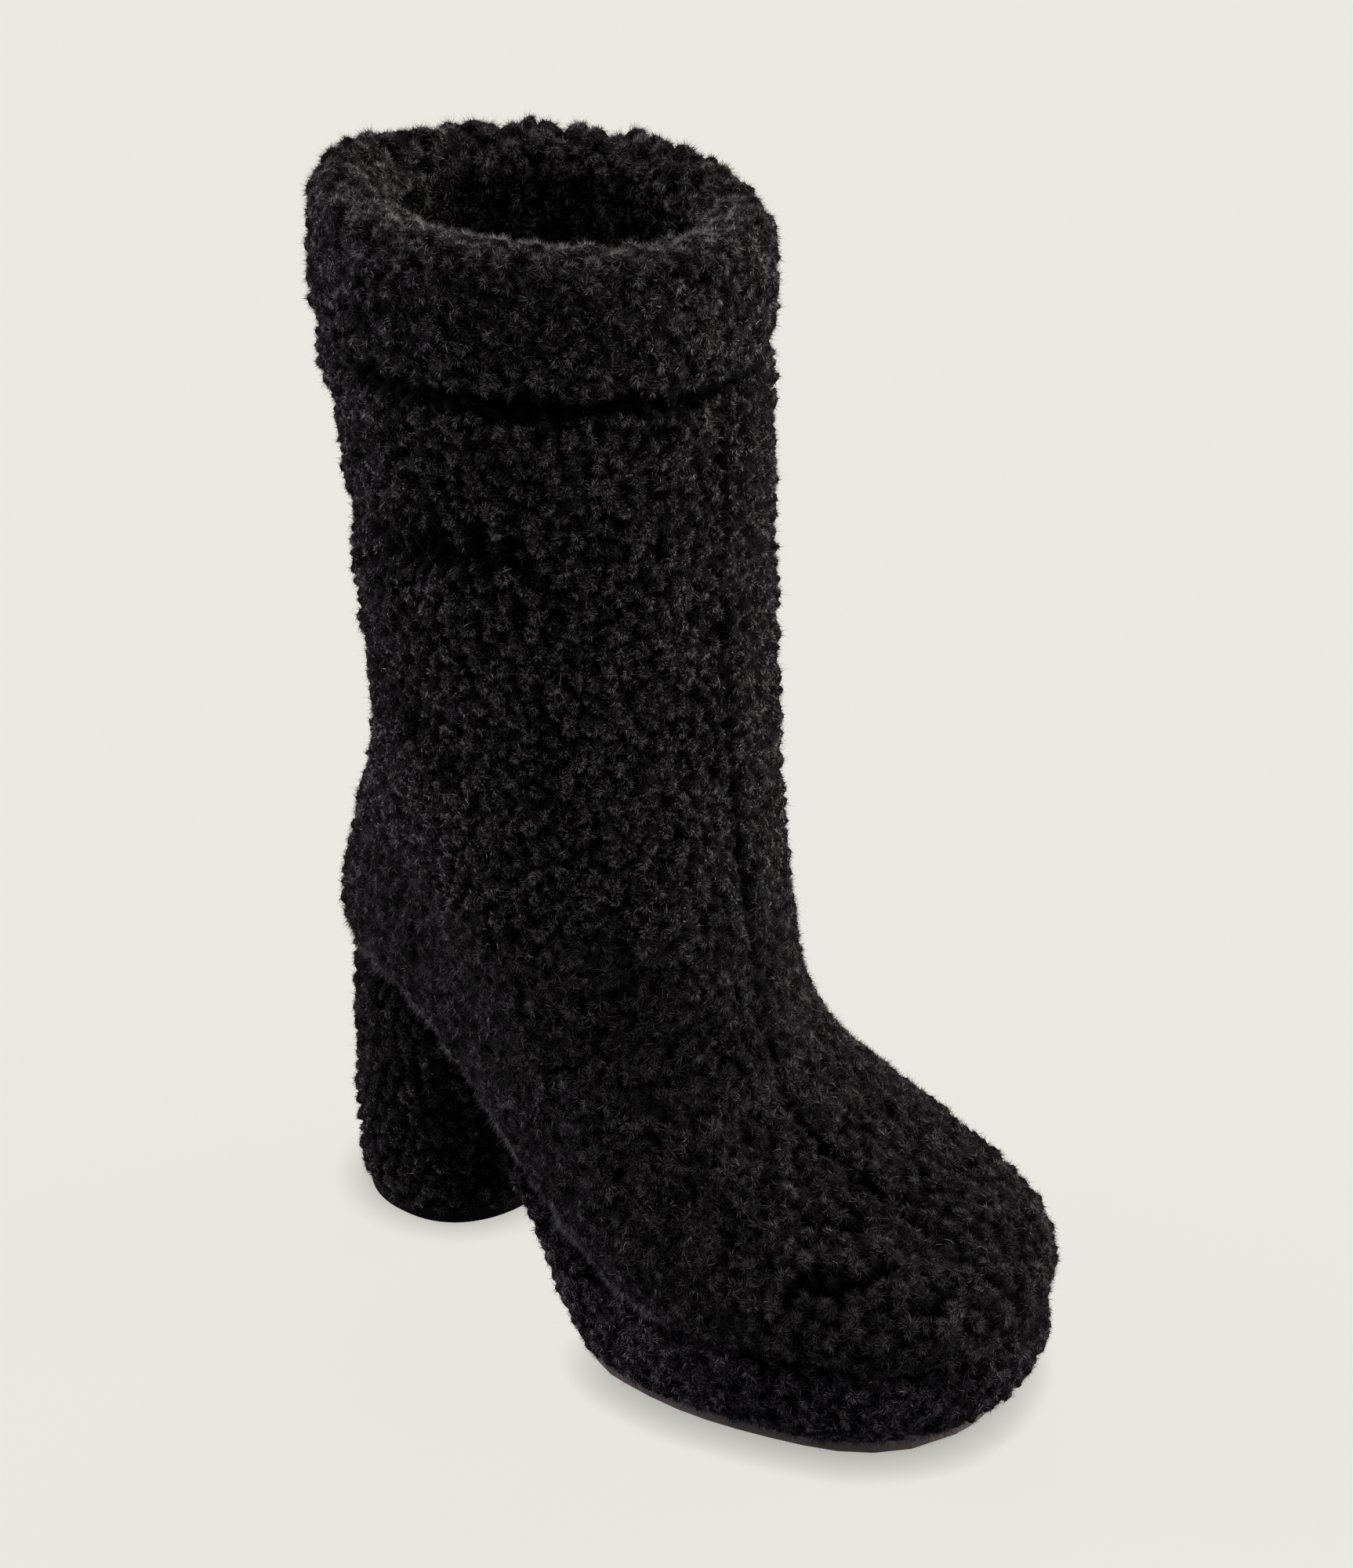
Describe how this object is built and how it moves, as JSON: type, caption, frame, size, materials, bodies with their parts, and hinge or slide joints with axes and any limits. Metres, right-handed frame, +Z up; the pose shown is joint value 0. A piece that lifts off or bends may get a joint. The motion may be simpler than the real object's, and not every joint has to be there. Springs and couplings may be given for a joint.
{
  "type": "heeled sheepskin boot",
  "caption": "Black pull-on platform boot in curly sheepskin for the right foot, with a turned-down cuff and a covered round heel.",
  "frame": {"origin": "on the floor under the middle of the boot's box", "axes": "+Z up the shaft, -Y towards the toe, +X towards the inner (big-toe) side of this right boot"},
  "size_m": [0.135, 0.2688, 0.3653],
  "materials": {
    "black_fleece": "matte",
    "tan_leather": "satin",
    "black_rubber": "matte",
    "black_sock": "matte"
  },
  "bodies": {
    "root": {"upper": "black_fleece", "cuff": "black_fleece", "platform": "black_fleece", "heel": "black_fleece", "outsole": "tan_leather", "toplift": "black_rubber", "insole": "black_sock"}
  },
  "joints": []
}
